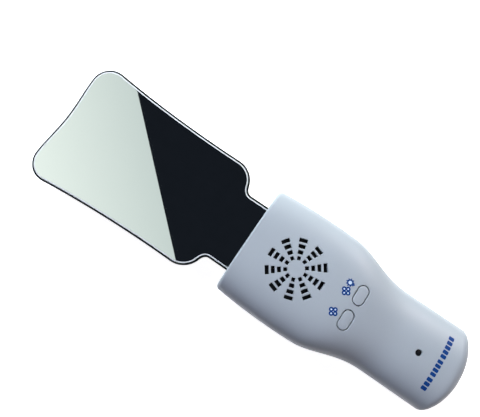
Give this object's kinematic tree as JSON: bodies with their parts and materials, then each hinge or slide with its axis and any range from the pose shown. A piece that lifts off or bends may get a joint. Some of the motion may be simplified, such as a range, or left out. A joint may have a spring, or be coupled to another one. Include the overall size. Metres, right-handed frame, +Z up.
{
  "type": "fog-free intraoral photography mirror",
  "caption": "Handheld dental photography mirror: a flat glass blade slides into a moulded handle whose blower clears fog from the mirror and whose lamps light it.",
  "frame": {"origin": "bottom centre of the bounding box: halfway along the object, on the centre line, at the level of the handle's flat underside", "axes": "+X from the mirror's tip to the handle's tail; +Y across, to the left when looking along +X; +Z up, out of the mirror's reflecting face and the grille"},
  "size_m": [0.2367, 0.0712, 0.029],
  "materials": {
    "shell": "satin moulded plastic, light bluish grey",
    "bezel": "fine-textured black plastic",
    "screw_steel": "nickel-plated steel",
    "mirror": "front-coated glass, faint green-white reflection",
    "natural_plastic": "unpainted natural plastic",
    "spring_steel": "spring steel strip",
    "dark_plastic": "matte black plastic",
    "circuit_board": "green solder mask",
    "copper": "enamelled copper winding",
    "bronze": "sintered bronze",
    "magnet": "bonded magnet",
    "impeller": "black moulded plastic",
    "lamp_lens": "clear resin",
    "lamp_board": "white solder mask",
    "lamp_lead": "red wire insulation",
    "button": "satin moulded plastic",
    "smoked_lens": "smoked clear plastic",
    "black_lead": "black wire insulation",
    "battery_foil": "laminated foil pouch",
    "foam": "adhesive foam"
  },
  "bodies": {
    "handle": {"top_shell": "shell", "bottom_shell": "shell", "front_bezel": "bezel", "housing_screw_front_left": "screw_steel", "housing_screw_front_right": "screw_steel", "housing_screw_rear_left": "screw_steel", "housing_screw_rear_right": "screw_steel", "mirror_tray": "natural_plastic", "mirror_spring_left": "spring_steel", "mirror_spring_right": "spring_steel", "air_duct": "dark_plastic", "blower_base": "dark_plastic", "blower_cover": "dark_plastic", "motor_board": "circuit_board", "stator": "copper", "bearing_sleeve": "bronze", "blower_screw_left": "screw_steel", "blower_screw_right": "screw_steel", "lamp_left": "lamp_lens", "lamp_board_left": "lamp_board", "lamp_lead_left": "lamp_lead", "lamp_right": "lamp_lens", "lamp_board_right": "lamp_board", "lamp_lead_right": "lamp_lead", "circuit_board": "circuit_board", "controller_chip": "dark_plastic", "fan_switch": "dark_plastic", "fan_light_switch": "dark_plastic", "indicator_diode": "lamp_lens", "light_pipe": "smoked_lens", "charge_socket": "screw_steel", "battery_connector": "natural_plastic", "fan_lead": "black_lead", "battery_cell": "battery_foil", "battery_pad": "foam", "battery_lead": "lamp_lead", "board_screw_left": "screw_steel", "board_screw_right": "screw_steel", "board_screw_rear": "screw_steel"},
    "mirror": {"mirror_plate": "mirror"},
    "rotor": {"impeller": "impeller", "rotor_magnet": "magnet", "rotor_shaft": "screw_steel"},
    "fan_key": {"fan_button": "button", "fan_plunger": "dark_plastic"},
    "fan_light_key": {"fan_light_button": "button", "fan_light_plunger": "dark_plastic"}
  },
  "joints": [
    {"name": "mirror_slide", "type": "slide", "parent": "handle", "child": "mirror", "axis": [-1, 0, 0], "range_m": [0, 0.03]},
    {"name": "fan_button_press", "type": "slide", "parent": "handle", "child": "fan_key", "axis": [0, 0, -1], "range_m": [0, 0.0005], "stiffness_N_per_m": 800},
    {"name": "fan_light_button_press", "type": "slide", "parent": "handle", "child": "fan_light_key", "axis": [0, 0, -1], "range_m": [0, 0.0005], "stiffness_N_per_m": 800},
    {"name": "impeller_spin", "type": "hinge", "parent": "handle", "child": "rotor", "pos_m": [0.0267, 0, 0.0185], "axis": [0, 0, 1], "continuous": true}
  ]
}
